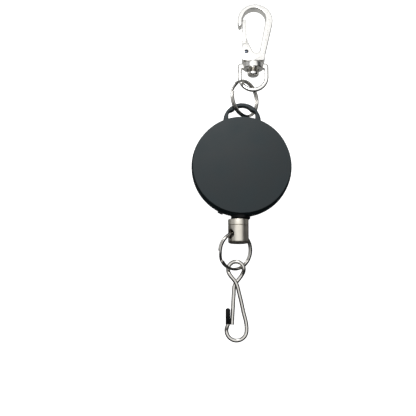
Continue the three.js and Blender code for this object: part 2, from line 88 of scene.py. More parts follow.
def linear(hex_code):
    """An sRGB hex colour as the linear RGBA that a node takes."""
    parts = [int(hex_code[i:i + 2], 16) / 255 for i in (0, 2, 4)]
    return [p / 12.92 if p <= 0.04045 else ((p + 0.055) / 1.055) ** 2.4 for p in parts] + [1.0]


def add_node(tree, kind, values=None, links=None, **settings):
    """Adds a shader node, sets its properties and sockets, and links its inputs."""
    made = tree.nodes.new("ShaderNode" + kind)
    for name, value in settings.items():
        setattr(made, name, value)
    for name, value in (values or {}).items():
        made.inputs[name].default_value = value
    for name, source in (links or {}).items():
        tree.links.new(source, made.inputs[name])
    return made


def start_material(name, **sockets):
    """A material with its principled shader's own sockets set. Returns it, its tree and the shader."""
    material = bpy.data.materials.new(name)
    material.use_nodes = True
    shader = material.node_tree.nodes["Principled BSDF"]
    for socket, value in sockets.items():
        shader.inputs[socket.replace("_", " ")].default_value = value
    return material, material.node_tree, shader


def arc(cx, cy, rx, ry, first, last, steps):
    """Points of an elliptical arc between two angles in degrees."""
    angles = [math.radians(first + (last - first) * i / steps) for i in range(steps + 1)]
    return [(cx + rx * math.cos(a), cy + ry * math.sin(a)) for a in angles]


def tidy_mesh():
    """In edit mode: closes seams, turns the faces outwards and goes back to object mode."""
    bpy.ops.mesh.select_all(action="SELECT")
    bpy.ops.mesh.remove_doubles(threshold=0.002 * MM)
    bpy.ops.mesh.select_all(action="DESELECT")
    bpy.ops.mesh.select_non_manifold(use_wire=False, use_multi_face=False, use_non_contiguous=False,
                                     use_verts=False)
    bpy.ops.mesh.fill_holes(sides=0)
    bpy.ops.mesh.select_all(action="SELECT")
    bpy.ops.mesh.normals_make_consistent(inside=False)
    bpy.ops.object.mode_set(mode="OBJECT")


def turned(stations, sides=ROUND_SIDES):
    """Pulls a ring through (radius, height) stations about Z, in millimetres. Open ends are filled."""
    (radius, height), *rest = stations
    bpy.ops.object.select_all(action="DESELECT")
    bpy.ops.mesh.primitive_circle_add(vertices=sides, radius=radius * MM, location=(0, 0, height * MM))
    bpy.ops.object.mode_set(mode="EDIT")
    for next_radius, next_height in rest:
        rise = (0, 0, (next_height - height) * MM)
        bpy.ops.mesh.extrude_region_move(TRANSFORM_OT_translate={"value": rise})
        spread = next_radius / radius
        bpy.ops.transform.resize(value=(spread, spread, 1), center_override=(0, 0, next_height * MM))
        radius, height = next_radius, next_height
    tidy_mesh()
    return bpy.context.object


def place(piece, move=(0, 0, 0), turn=Matrix.Identity(4)):
    """Turns a piece, moves it by millimetres, and puts both into its mesh."""
    bpy.ops.object.select_all(action="DESELECT")
    piece.select_set(True)
    bpy.context.view_layer.objects.active = piece
    piece.matrix_world = Matrix.Translation(Vector(move) * MM) @ turn @ piece.matrix_world
    bpy.ops.object.transform_apply()
    return piece


def apply_modifier(piece, kind, **settings):
    """Adds a modifier with its settings and applies it."""
    bpy.context.view_layer.objects.active = piece
    modifier = piece.modifiers.new(kind.title(), kind)
    for name, value in settings.items():
        setattr(modifier, name, value)
    bpy.ops.object.modifier_apply(modifier=modifier.name)
    return piece


def carve(piece, tool, operation="DIFFERENCE"):
    """Cuts a tool's shape out of a piece, or joins it on, and removes the tool."""
    apply_modifier(piece, "BOOLEAN", object=tool, operation=operation, solver="EXACT")
    bpy.data.objects.remove(tool)
    return piece


def round_edges(piece, width, segments=3, angle=35):
    """Rounds every edge sharper than an angle, by a width in millimetres."""
    return apply_modifier(piece, "BEVEL", width=width * MM, segments=segments, limit_method="ANGLE",
                          angle_limit=math.radians(angle), use_clamp_overlap=True, harden_normals=False)


def settle(piece, name, body, material, nodes=(), smooth=38):
    """Names and finishes a piece, tells the frame what it rides on, and hides the CAD pieces that it
    stands for. A piece that bends between two bodies has no body of its own here."""
    place(piece)
    piece.name = piece.data.name = name
    bpy.ops.object.shade_smooth_by_angle(angle=math.radians(smooth))
    piece.data.materials.clear()
    piece.data.materials.append(material)
    if body:
        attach(piece, body)
    if nodes:
        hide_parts(*nodes)
    return piece


ALONG_Y = Matrix.Rotation(-math.pi / 2, 4, "X")

# Moulded ABS with a spark-eroded grain: a soft, slightly uneven sheen and a dark slate body colour.
# The real grain is 0.1 mm; it is drawn at 0.45 mm, the finest that shows.
case_abs, tree, shader = start_material("moulded_abs_case", Roughness=0.5, IOR=1.45)
position = add_node(tree, "TexCoord").outputs["Object"]
grain = add_node(tree, "TexNoise", {"Scale": 1 / (0.45 * MM), "Detail": 3.0}, {"Vector": position})
patches = add_node(tree, "TexNoise", {"Scale": 1 / (9 * MM), "Detail": 4.0}, {"Vector": position})
body_tone = add_node(tree, "ValToRGB", links={"Fac": patches.outputs["Fac"]})
body_tone.color_ramp.elements[0].position, body_tone.color_ramp.elements[1].position = 0.3, 0.7
body_tone.color_ramp.elements[0].color = linear("0a191d")
body_tone.color_ramp.elements[1].color = linear("0f2227")
sheen = add_node(tree, "MapRange", {"To Min": 0.42, "To Max": 0.6}, {"Value": patches.outputs["Fac"]})
relief = add_node(tree, "Bump", {"Strength": 0.35, "Distance": 0.05 * MM},
                  {"Height": grain.outputs["Fac"]})
tree.links.new(body_tone.outputs["Color"], shader.inputs["Base Color"])
tree.links.new(sheen.outputs["Result"], shader.inputs["Roughness"])
tree.links.new(relief.outputs["Normal"], shader.inputs["Normal"])

rear = turned([
    (POST_BORE_RADIUS, 3.0), (POST_BORE_RADIUS, POST_TOP), (POST_RADIUS, POST_TOP),
    (POST_RADIUS, FLOOR + 0.1), (4.6, FLOOR + 0.1), (4.6, FLOOR), (15.8, FLOOR), (16.6, 2.1),
    (LIP_INSIDE_RADIUS, 4.2), (LIP_INSIDE_RADIUS, LIP_TOP), (LIP_RADIUS, LIP_TOP),
    (LIP_RADIUS, REAR_EDGE), (CASE_RADIUS - EDGE_BREAK, REAR_EDGE), (CASE_RADIUS, REAR_EDGE - EDGE_BREAK),
    *arc(BACK_FLAT_RADIUS, BACK_ROUND_HEIGHT, BACK_ROUND_WIDTH, BACK_ROUND_HEIGHT, 0, -90, 14),
])
bpy.ops.object.select_all(action="DESELECT")
bpy.ops.mesh.primitive_cube_add(size=MM, location=(
    CASE_RADIUS * MM - PRY_TAB_SINK * MM, 0, PRY_TAB_HEIGHT * MM))
bpy.ops.object.mode_set(mode="EDIT")
bpy.ops.transform.resize(value=PRY_TAB_SIZE)
bpy.ops.object.mode_set(mode="OBJECT")
tab = place(bpy.context.object, turn=Matrix.Rotation(math.radians(PRY_TAB_ANGLE), 4, "Z"))
carve(rear, round_edges(tab, 0.35), "UNION")


def outlet_hole():
    """A plug the size of the cord guide's neck, to cut the covers with."""
    plug = turned([(GUIDE_NECK_RADIUS + 0.03, -21), (GUIDE_NECK_RADIUS + 0.03, -15)], 48)
    return place(plug, (OUTLET_X, 0, PARTING_HEIGHT), ALONG_Y)


carve(rear, outlet_hole())
settle(rear, "case_back", "case", case_abs, ["rear_cover"])

# ---- front cover ---------------------------------------------------------------------
# The lid of the case, moulded in the same ABS with the lug on its rim in one piece. A flat
# ledge runs round the recess that takes the face plate; the lug is an arch over a slot.
FRONT_EDGE = PARTING_HEIGHT + PARTING_GAP
FRONT_ROUND_START = 7.4
LEDGE_HEIGHT = 10.1
LEDGE_RADIUS = 17.9
FRONT_ROUND_WIDTH = CASE_RADIUS - LEDGE_RADIUS
FRONT_ROUND_RISE = LEDGE_HEIGHT - FRONT_ROUND_START
RECESS_RADIUS = 16.95
RECESS_FLOOR = 9.5
SHELL_INSIDE_RADIUS = 18.3
ROOF = 8.5
LUG_X = 0.24
LUG_CENTRE_Y = 17.75
LUG_OUTER_RADIUS = 7.4
LUG_FOOT_Y = 14.5
LUG_SLOT_HALF = 5.3
LUG_SLOT_FOOT_Y = 15
LUG_SLOT_CORNER = 1
LUG_SLOT_SHOULDER_Y = 21.9
LUG_SLOT_TOP_Y = 23.85
LUG_TOP = 9.1
LUG_ROOT_RADIUS = 18.9


def drawn_plate(points, bottom, top):
    """Draws a closed outline point by point, fills it and pulls it up to a plate, in millimetres."""
    bpy.ops.object.select_all(action="DESELECT")
    start = Vector((*points[0], bottom)) * MM
    bpy.ops.mesh.primitive_plane_add(size=MM, location=start)
    bpy.ops.object.mode_set(mode="EDIT")
    bpy.ops.mesh.merge(type="CENTER")
    for here, there in zip(points, [*points[1:], points[0]]):
        step = ((there[0] - here[0]) * MM, (there[1] - here[1]) * MM, 0)
        bpy.ops.mesh.extrude_region_move(TRANSFORM_OT_translate={"value": step})
    bpy.ops.mesh.select_all(action="SELECT")
    bpy.ops.mesh.remove_doubles(threshold=0.002 * MM)
    bpy.ops.mesh.edge_face_add()
    bpy.ops.mesh.extrude_region_move(TRANSFORM_OT_translate={"value": (0, 0, (top - bottom) * MM)})
    tidy_mesh()
    return bpy.context.object


front = turned([
    (0.8, ROOF - 0.55), (3.2, ROOF - 0.55), (3.2, ROOF), (17.6, ROOF),
    (SHELL_INSIDE_RADIUS, ROOF - 0.7), (SHELL_INSIDE_RADIUS, FRONT_EDGE),
    (CASE_RADIUS - EDGE_BREAK, FRONT_EDGE), (CASE_RADIUS, FRONT_EDGE + EDGE_BREAK),
    *arc(LEDGE_RADIUS, FRONT_ROUND_START, FRONT_ROUND_WIDTH, FRONT_ROUND_RISE, 0, 90, 14),
    (RECESS_RADIUS + EDGE_BREAK, LEDGE_HEIGHT), (RECESS_RADIUS, LEDGE_HEIGHT - EDGE_BREAK),
    (RECESS_RADIUS, RECESS_FLOOR),
    (2.2, RECESS_FLOOR), (2.2, RECESS_FLOOR - 0.9), (0.8, RECESS_FLOOR - 0.9), (0.8, ROOF - 0.55),
])
lug = drawn_plate([
    *arc(LUG_X, LUG_CENTRE_Y, LUG_OUTER_RADIUS, LUG_OUTER_RADIUS, -8, 188, 44), (LUG_X, LUG_FOOT_Y),
], FRONT_EDGE, LUG_TOP)
slot = [
    (LUG_X - LUG_SLOT_HALF, LUG_SLOT_FOOT_Y), (LUG_X + LUG_SLOT_HALF, LUG_SLOT_FOOT_Y),
    *arc(LUG_X + LUG_SLOT_HALF - LUG_SLOT_CORNER, LUG_SLOT_SHOULDER_Y - LUG_SLOT_CORNER,
         LUG_SLOT_CORNER, LUG_SLOT_CORNER, 0, 90, 6),
    *arc(LUG_X, LUG_SLOT_SHOULDER_Y, 3.3, LUG_SLOT_TOP_Y - LUG_SLOT_SHOULDER_Y, 15, 165, 24),
    *arc(LUG_X - LUG_SLOT_HALF + LUG_SLOT_CORNER, LUG_SLOT_SHOULDER_Y - LUG_SLOT_CORNER,
         LUG_SLOT_CORNER, LUG_SLOT_CORNER, 90, 180, 6),
]
carve(lug, drawn_plate(slot, 0, 12))
round_edges(lug, 0.3, 3)
carve(lug, turned([(LUG_ROOT_RADIUS, 0), (LUG_ROOT_RADIUS, 12)], 96))
carve(front, lug, "UNION")
carve(front, outlet_hole())
settle(front, "case_front_with_lug", "case", case_abs, ["front_cover"])

# ---- face plate ----------------------------------------------------------------------
# A slightly crowned disc of the same family of ABS, pressed into the recess so that a thin
# groove shows round it. Its surface is satin, a little bluer and lighter than the case.
FACE_RADIUS = 16.5
FACE_EDGE_ROUND = 0.42
CROWN_RADIUS = FACE_RADIUS - 0.7
FACE_EDGE_TOP = 10.45
FACE_CROWN = 0.35
CROWN_RINGS = 14
CROWN_RING_STEP = 1.1
RIM_HIGHLIGHT_STARTS = 15.4
RIM_HIGHLIGHT_IS_FULL = 15.75

# Satin-textured ABS: broad soft highlights broken by a fine leathery grain. The real grain is
# about 0.15 mm; it is drawn at 0.5 mm and again at 1.3 mm, so that it shows. The rim is painted
# a little paler, a painted highlight along its rounded edge. In a Mix node, inputs 6 and 7 are its two
# colours.
face_abs, tree, shader = start_material("satin_textured_abs", Roughness=0.42, IOR=1.32)
position = add_node(tree, "TexCoord").outputs["Object"]
grain = add_node(tree, "TexNoise", {"Scale": 1 / (0.5 * MM), "Detail": 2.0}, {"Vector": position})
mottle = add_node(tree, "TexNoise", {"Scale": 1 / (1.3 * MM), "Detail": 3.0}, {"Vector": position})
body_tone = add_node(tree, "ValToRGB", links={"Fac": mottle.outputs["Fac"]})
body_tone.color_ramp.elements[0].position, body_tone.color_ramp.elements[1].position = 0.3, 0.7
body_tone.color_ramp.elements[0].color = linear("0d2a34")
body_tone.color_ramp.elements[1].color = linear("12333f")
sheen = add_node(tree, "MapRange", {"To Min": 0.38, "To Max": 0.5}, {"Value": mottle.outputs["Fac"]})
heights = add_node(tree, "Math", operation="ADD",
                   links={0: grain.outputs["Fac"], 1: mottle.outputs["Fac"]})
relief = add_node(tree, "Bump", {"Strength": 0.3, "Distance": 0.05 * MM},
                  {"Height": heights.outputs["Value"]})
across = add_node(tree, "VectorMath", {1: (1, 1, 0)}, {0: position}, operation="MULTIPLY")
from_axis = add_node(tree, "VectorMath", links={0: across.outputs["Vector"]}, operation="LENGTH")
# Painted highlight: the plate's colour turns paler in a thin band round its rim.
rim_highlight_mask = add_node(tree, "MapRange", {"From Min": RIM_HIGHLIGHT_STARTS * MM, "From Max": RIM_HIGHLIGHT_IS_FULL * MM},
                     {"Value": from_axis.outputs["Value"]}, interpolation_type="SMOOTHSTEP")
painted_rim_highlight = add_node(tree, "Mix", {7: linear("213c44")},
                  {0: rim_highlight_mask.outputs["Result"], 6: body_tone.outputs["Color"]}, data_type="RGBA")
tree.links.new(painted_rim_highlight.outputs[2], shader.inputs["Base Color"])
tree.links.new(sheen.outputs["Result"], shader.inputs["Roughness"])
tree.links.new(relief.outputs["Normal"], shader.inputs["Normal"])

crown = []
for i in range(CROWN_RINGS):
    radius = CROWN_RADIUS - CROWN_RING_STEP * i
    crown.append((radius, FACE_EDGE_TOP + FACE_CROWN * (1 - (radius / CROWN_RADIUS) ** 2)))
face = turned([
    (FACE_RADIUS - 0.3, RECESS_FLOOR + 0.03), (FACE_RADIUS, RECESS_FLOOR + 0.2),
    *arc(FACE_RADIUS - FACE_EDGE_ROUND, FACE_EDGE_TOP - FACE_EDGE_ROUND, FACE_EDGE_ROUND,
         FACE_EDGE_ROUND, 0, 90, 7), *crown,
], 160)
settle(face, "face_plate_inlay", "case", face_abs, ["face_plate"], 45)

# ---- cord guide ----------------------------------------------------------------------
# A black nylon bush, trapped by its flange between the covers where the cord comes out. Its
# collar lies on the rim of the case; its bore is flared so that the cord doesn't chafe.
OUTLET_Y = -20.6
COLLAR_RADIUS = 3.75
COLLAR_CLEARANCE = 0.04
COLLAR_ROUND = 0.5
FLANGE_RADIUS = 3.4
BORE_RADIUS = 1.1
OUTLET_AXIS = (OUTLET_X, 0, PARTING_HEIGHT)

# Moulded nylon: near black with a weak waxy sheen, broken by shallow flow ripples.
black_nylon, tree, shader = start_material("moulded_black_nylon", Roughness=0.38, IOR=1.53,
                                           Specular_IOR_Level=0.2)
position = add_node(tree, "TexCoord").outputs["Object"]
ripples = add_node(tree, "TexNoise", {"Scale": 1 / (0.8 * MM), "Detail": 3.0}, {"Vector": position})
body_tone = add_node(tree, "ValToRGB", links={"Fac": ripples.outputs["Fac"]})
body_tone.color_ramp.elements[0].color = linear("040506")
body_tone.color_ramp.elements[1].color = linear("0c0e10")
sheen = add_node(tree, "MapRange", {"To Min": 0.3, "To Max": 0.5}, {"Value": ripples.outputs["Fac"]})
relief = add_node(tree, "Bump", {"Strength": 0.25, "Distance": 0.04 * MM},
                  {"Height": ripples.outputs["Fac"]})
tree.links.new(body_tone.outputs["Color"], shader.inputs["Base Color"])
tree.links.new(sheen.outputs["Result"], shader.inputs["Roughness"])
tree.links.new(relief.outputs["Normal"], shader.inputs["Normal"])

collar = place(turned([
    *arc(COLLAR_RADIUS - COLLAR_ROUND, OUTLET_Y + COLLAR_ROUND, COLLAR_ROUND, COLLAR_ROUND, -90, 0, 5),
    (COLLAR_RADIUS, -18.0),
], 64), OUTLET_AXIS, ALONG_Y)
rim_form = turned([
    (BACK_FLAT_RADIUS, -COLLAR_CLEARANCE),
    *arc(BACK_FLAT_RADIUS, BACK_ROUND_HEIGHT, BACK_ROUND_WIDTH + COLLAR_CLEARANCE,
         BACK_ROUND_HEIGHT + COLLAR_CLEARANCE, -88, 0, 12),
    *arc(LEDGE_RADIUS, FRONT_ROUND_START, FRONT_ROUND_WIDTH + COLLAR_CLEARANCE,
         FRONT_ROUND_RISE + COLLAR_CLEARANCE, 0, 90, 12),
])
carve(collar, rim_form)
neck = turned([
    (GUIDE_NECK_RADIUS, -20.0), (GUIDE_NECK_RADIUS, -17.4), (FLANGE_RADIUS, -17.4), (FLANGE_RADIUS, -16.6),
], 48)
carve(collar, place(neck, OUTLET_AXIS, ALONG_Y), "UNION")
bore = turned([
    (1.75, -21), *arc(BORE_RADIUS + 0.6, -20.0, 0.6, 0.62, -90, -180, 5), (BORE_RADIUS, -17.6),
    (2.2, -16.4),
], 48)
carve(collar, place(bore, OUTLET_AXIS, ALONG_Y))
settle(collar, "outlet_bush", "case", black_nylon, ["cord_guide"])

# ---- spindle and spool ---------------------------------------------------------------
# Inside the case the spool turns on a steel sleeve over the rear cover's post, between a washer
# and the lid. A flat spring in its pocket winds the cord in; a thin steel plate closes the pocket.

# Zinc-plated steel: a greyish metal with faint turning lines, drawn at 0.3 mm so that they show.
zinc_steel, tree, shader = start_material("zinc_plated_steel", Metallic=1.0, Roughness=0.32)
position = add_node(tree, "TexCoord").outputs["Object"]
lines = add_node(tree, "TexWave", {"Scale": 1 / (2.4 * MM), "Distortion": 0.6}, {"Vector": position},
                 wave_type="RINGS", rings_direction="Z")
blotches = add_node(tree, "TexNoise", {"Scale": 1 / (1.5 * MM), "Detail": 3.0}, {"Vector": position})
plating = add_node(tree, "ValToRGB", links={"Fac": blotches.outputs["Fac"]})
plating.color_ramp.elements[0].color = linear("9fa3a6")
plating.color_ramp.elements[1].color = linear("c6c9cb")
relief = add_node(tree, "Bump", {"Strength": 0.15, "Distance": 0.02 * MM},
                  {"Height": lines.outputs["Fac"]})
tree.links.new(plating.outputs["Color"], shader.inputs["Base Color"])
tree.links.new(relief.outputs["Normal"], shader.inputs["Normal"])

# Natural acetal: a milky, slightly waxy white with faint flow clouds.
acetal, tree, shader = start_material("moulded_acetal", Roughness=0.4, IOR=1.48)
position = add_node(tree, "TexCoord").outputs["Object"]
clouds = add_node(tree, "TexNoise", {"Scale": 1 / (5 * MM), "Detail": 3.0}, {"Vector": position})
body_tone = add_node(tree, "ValToRGB", links={"Fac": clouds.outputs["Fac"]})
body_tone.color_ramp.elements[0].color = linear("dcdad0")
body_tone.color_ramp.elements[1].color = linear("efeee8")
tree.links.new(body_tone.outputs["Color"], shader.inputs["Base Color"])

# Blued steel, on the springs and the rivet: dark blue-grey, with a tempering colour that drifts.
blued_steel, tree, shader = start_material("blued_spring_strip", Metallic=1.0, Roughness=0.3)
position = add_node(tree, "TexCoord").outputs["Object"]
temper = add_node(tree, "TexNoise", {"Scale": 1 / (4 * MM), "Detail": 2.0}, {"Vector": position})
bluing = add_node(tree, "ValToRGB", links={"Fac": temper.outputs["Fac"]})
bluing.color_ramp.elements[0].color = linear("3a4048")
bluing.color_ramp.elements[1].color = linear("6a6f78")
tree.links.new(bluing.outputs["Color"], shader.inputs["Base Color"])

for finish, names in {
    zinc_steel: ["axle_sleeve", "axle_screw", "spring_cover", "cord_crimp"],
    acetal: ["thrust_washer", "spool_drum"],
    blued_steel: ["power_spring"],
}.items():
    for name in names:
        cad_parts[name].data.materials.clear()
        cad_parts[name].data.materials.append(finish)

# ---- cord ----------------------------------------------------------------------------
# A 0.9 mm braided nylon cord. It is wound on the spool, leaves it at a tangent through the guide
# and ends in the crimp inside the ferrule; the stretch between guide and crimp pays out.
CORD_DIAMETER = 0.9
CORD_X = -0.85
CRIMP_TOP = -23.3

# Braided nylon: black strands crossing in fine diamonds, with a dull sheen. The strands are
# 0.12 mm; they are drawn 0.3 mm wide.
braided_nylon, tree, shader = start_material("braided_nylon_cord", Roughness=0.7, IOR=1.53)
position = add_node(tree, "TexCoord").outputs["Object"]
spot = add_node(tree, "SeparateXYZ", links={"Vector": position})
strands = []
for lean in (1.0, -1.0):
    across = add_node(tree, "Math", {1: lean}, {0: spot.outputs["X"]}, operation="MULTIPLY")
    diagonal = add_node(tree, "Math", links={0: spot.outputs["Y"], 1: across.outputs["Value"]},
                        operation="ADD")
    phase = add_node(tree, "Math", {1: 2 * math.pi / (0.6 * MM)}, {0: diagonal.outputs["Value"]},
                     operation="MULTIPLY")
    strands.append(add_node(tree, "Math", links={0: phase.outputs["Value"]}, operation="SINE"))
braid = add_node(tree, "Math", links={0: strands[0].outputs["Value"], 1: strands[1].outputs["Value"]},
                 operation="MAXIMUM")
strand_tone = add_node(tree, "ValToRGB", links={"Fac": braid.outputs["Value"]})
strand_tone.color_ramp.elements[0].color = linear("0a0b0c")
strand_tone.color_ramp.elements[1].color = linear("24272a")
relief = add_node(tree, "Bump", {"Strength": 0.6, "Distance": 0.08 * MM},
                  {"Height": braid.outputs["Value"]})
tree.links.new(strand_tone.outputs["Color"], shader.inputs["Base Color"])
tree.links.new(relief.outputs["Normal"], shader.inputs["Normal"])


def bent_wire(points, thickness, cuts=8, roundness=6):
    """A round wire or cord bent smoothly through points in millimetres, as a closed mesh."""
    bpy.ops.object.select_all(action="DESELECT")
    bpy.ops.curve.primitive_bezier_curve_add()
    run = bpy.context.object
    knots = run.data.splines[0].bezier_points
    knots.add(len(points) - 2)
    for knot, point in zip(knots, points):
        knot.co = Vector(point) * MM
        knot.handle_left_type = knot.handle_right_type = "AUTO"
    run.data.resolution_u = cuts
    run.data.bevel_depth = thickness / 2 * MM
    run.data.bevel_resolution = roundness
    run.data.use_fill_caps = True
    bpy.ops.object.convert(target="MESH")
    bpy.ops.object.mode_set(mode="EDIT")
    tidy_mesh()
    return bpy.context.object


route = [
    (-8.55, -10.95), (-6.6, -12.4), (-4.4, -14.05), (-2.4, -15.6), (-1.35, -16.7), (CORD_X - 0.05, -18),
    (CORD_X, -19.5), (CORD_X, -20.2), (CORD_X, -21.4), (CORD_X, CRIMP_TOP + 0.02),
]
lead = bent_wire([(x, y, PARTING_HEIGHT) for x, y in route], CORD_DIAMETER, 12)
settle(lead, "cord_run", None, braided_nylon, ["cord_lead"])
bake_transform(lead)
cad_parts["wound_cord"].data.materials.clear()
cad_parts["wound_cord"].data.materials.append(braided_nylon)

# ---- ferrule -------------------------------------------------------------------------
# The weight on the end of the cord: a turned brass cap and barrel, nickel plated, pressed
# together over the crimp. The split ring goes through the cross hole drilled in the barrel.
FERRULE_X = -1.3
FERRULE_RADIUS = 4.0
FERRULE_TOP = -20.65
FERRULE_JOINT = -23.05
FERRULE_BOTTOM = -29.95
FERRULE_WALL = 1.0
BARREL_BORE_RADIUS = FERRULE_RADIUS - FERRULE_WALL
CAP_BORE_RADIUS = 1.1
SPIGOT_INNER = 2.05
SPIGOT_OUTER = 2.85
SPIGOT_END = FERRULE_JOINT - 0.75
CROSS_HOLE_Y = -26.6
CROSS_HOLE_RADIUS = 1.9
CROSS_HOLE_TILT = 36
LOWER_RING_TILT = 33

# Turned nickel plate: bright, with fine tool lines round the piece that draw its reflections
# into soft bands along it. The lines are 0.08 mm apart and are drawn at 0.35 mm.
turned_nickel, tree, shader = start_material("turned_nickel_plate", Metallic=1.0, Roughness=0.34)
position = add_node(tree, "TexCoord").outputs["Object"]
lines = add_node(tree, "TexWave", {"Scale": 1 / (0.35 * MM) / 20, "Distortion": 0.8, "Detail": 2.0},
                 {"Vector": position}, wave_type="BANDS", bands_direction="Y")
haze = add_node(tree, "TexNoise", {"Scale": 1 / (2.5 * MM), "Detail": 3.0}, {"Vector": position})
plating = add_node(tree, "ValToRGB", links={"Fac": haze.outputs["Fac"]})
plating.color_ramp.elements[0].color = linear("d2cbbd")
plating.color_ramp.elements[1].color = linear("ebe6db")
gloss = add_node(tree, "MapRange", {"To Min": 0.28, "To Max": 0.4}, {"Value": haze.outputs["Fac"]})
relief = add_node(tree, "Bump", {"Strength": 0.12, "Distance": 0.02 * MM},
                  {"Height": lines.outputs["Fac"]})
tree.links.new(plating.outputs["Color"], shader.inputs["Base Color"])
tree.links.new(gloss.outputs["Result"], shader.inputs["Roughness"])
tree.links.new(relief.outputs["Normal"], shader.inputs["Normal"])

FERRULE_AXIS = (FERRULE_X, 0, PARTING_HEIGHT)
cap = turned([
    (CAP_BORE_RADIUS, FERRULE_JOINT), (SPIGOT_INNER, FERRULE_JOINT), (SPIGOT_INNER, SPIGOT_END),
    (SPIGOT_OUTER, SPIGOT_END), (SPIGOT_OUTER, FERRULE_JOINT), (FERRULE_RADIUS - 0.1, FERRULE_JOINT),
    (FERRULE_RADIUS, FERRULE_JOINT + 0.1),
    *arc(FERRULE_RADIUS - 0.3, FERRULE_TOP - 0.3, 0.3, 0.3, 0, 90, 4), (1.3, FERRULE_TOP),
    (CAP_BORE_RADIUS, FERRULE_TOP - 0.2), (CAP_BORE_RADIUS, FERRULE_JOINT),
], 72)
settle(place(cap, FERRULE_AXIS, ALONG_Y), "ferrule_head", "ferrule", turned_nickel,
       ["ferrule_cap"])

BARREL_TOP = FERRULE_JOINT - 0.06
barrel = turned([
    (BARREL_BORE_RADIUS, FERRULE_BOTTOM + 1.0), (BARREL_BORE_RADIUS, BARREL_TOP),
    (FERRULE_RADIUS - 0.12, BARREL_TOP), (FERRULE_RADIUS, BARREL_TOP - 0.14),
    *arc(FERRULE_RADIUS - 0.7, FERRULE_BOTTOM + 0.7, 0.7, 0.7, 0, -90, 6),
], 72)
barrel = place(barrel, FERRULE_AXIS, ALONG_Y)
cross_drill = place(turned([(CROSS_HOLE_RADIUS, -6), (CROSS_HOLE_RADIUS, 6)], 40),
                    (FERRULE_X, CROSS_HOLE_Y, PARTING_HEIGHT),
                    Matrix.Rotation(math.radians(90 + CROSS_HOLE_TILT), 4, "Y"))
carve(barrel, cross_drill)
round_edges(barrel, 0.12, 2, 50)
settle(barrel, "ferrule_tube", "ferrule", turned_nickel, ["ferrule_barrel"])

# ---- split rings ---------------------------------------------------------------------
# Two equal rings of flat nickel-plated steel wire in two turns. Each turn lies on the other, and
# the wire steps from one layer to the next in the gap between its own two ends.
RING_MEAN_RADIUS = 7.1
RING_RADIAL = 1.0
RING_AXIAL = 1.5
RING_STEPS = 110
RING_OPEN_ANGLE = 34
RING_LAYER_GAP = 0.02
RING_CORNER = 0.22
LOWER_RING_CLOCKING = 200
UPPER_RING_CLOCKING = 150
LOWER_RING_PITCH = 10
UPPER_RING_TILT = 45
UPPER_RING_CENTRE = (1.42, 27.6, 6.6)

# Drawn and plated wire: mirror-bright nickel with long faint die marks and a little handling haze.
drawn_nickel, tree, shader = start_material("drawn_nickel_wire", Metallic=1.0, Roughness=0.12)
position = add_node(tree, "TexCoord").outputs["Object"]
marks = add_node(tree, "TexNoise", {"Scale": 1 / (0.5 * MM), "Detail": 4.0, "Distortion": 1.2},
                 {"Vector": position})
haze = add_node(tree, "TexNoise", {"Scale": 1 / (3 * MM), "Detail": 3.0}, {"Vector": position})
plating = add_node(tree, "ValToRGB", links={"Fac": haze.outputs["Fac"]})
plating.color_ramp.elements[0].color = linear("c8c5bf")
plating.color_ramp.elements[1].color = linear("e8e5df")
gloss = add_node(tree, "MapRange", {"To Min": 0.06, "To Max": 0.18}, {"Value": marks.outputs["Fac"]})
relief = add_node(tree, "Bump", {"Strength": 0.05, "Distance": 0.02 * MM},
                  {"Height": marks.outputs["Fac"]})
tree.links.new(plating.outputs["Color"], shader.inputs["Base Color"])
tree.links.new(gloss.outputs["Result"], shader.inputs["Roughness"])
tree.links.new(relief.outputs["Normal"], shader.inputs["Normal"])


def split_ring():
    """Winds a two-turn coil about Z from a rounded flat section."""
    layer = RING_AXIAL / 2
    bpy.ops.object.select_all(action="DESELECT")
    bpy.ops.mesh.primitive_plane_add(size=MM, rotation=(math.pi / 2, 0, 0))
    ring = bpy.context.object
    place(ring)
    bpy.ops.object.mode_set(mode="EDIT")
    bpy.ops.transform.resize(value=(RING_RADIAL, 1, layer - RING_LAYER_GAP))
    bpy.ops.mesh.bevel(offset=RING_CORNER * MM, segments=3, affect="VERTICES")
    bpy.ops.transform.translate(value=(RING_MEAN_RADIUS * MM, 0, -layer / 2 * MM))
    half_gap = RING_OPEN_ANGLE / 2
    turns = 720 - RING_OPEN_ANGLE
    bpy.ops.transform.rotate(value=math.radians(half_gap), orient_axis="Z", center_override=(0, 0, 0))
    height = 0.0
    for i in range(RING_STEPS):
        angle = half_gap + turns * (i + 1) / RING_STEPS
        share = min(max((angle - 360 + half_gap) / RING_OPEN_ANGLE, 0), 1)
        next_height = layer * share * share * (3 - 2 * share)
        rise = {"value": (0, 0, (next_height - height) * MM)}
        bpy.ops.mesh.extrude_region_move(TRANSFORM_OT_translate=rise)
        bpy.ops.transform.rotate(value=math.radians(turns / RING_STEPS), orient_axis="Z",
                                 center_override=(0, 0, 0))
        height = next_height
    tidy_mesh()
    return ring


lower_ring = split_ring()
bpy.ops.object.select_all(action="DESELECT")
lower_ring.select_set(True)
bpy.ops.object.duplicate()
upper_ring = bpy.context.object
place(upper_ring, turn=Matrix.Rotation(math.radians(UPPER_RING_CLOCKING), 4, "Z"))
place(upper_ring, UPPER_RING_CENTRE, Matrix.Rotation(math.radians(UPPER_RING_TILT), 4, "Y"))
settle(upper_ring, "split_ring_at_lug", "upper_ring", drawn_nickel,
       ["upper_split_ring"])

place(lower_ring, turn=Matrix.Rotation(math.radians(LOWER_RING_CLOCKING), 4, "Z"))
place(lower_ring, (-0.7, 0.7 - RING_MEAN_RADIUS, 0))
place(lower_ring, (FERRULE_X, CROSS_HOLE_Y, PARTING_HEIGHT),
      Matrix.Rotation(math.radians(LOWER_RING_TILT), 4, "Y")
      @ Matrix.Rotation(math.radians(LOWER_RING_PITCH), 4, "X"))
settle(lower_ring, "split_ring_at_ferrule", "lower_ring", drawn_nickel,
       ["lower_split_ring"])

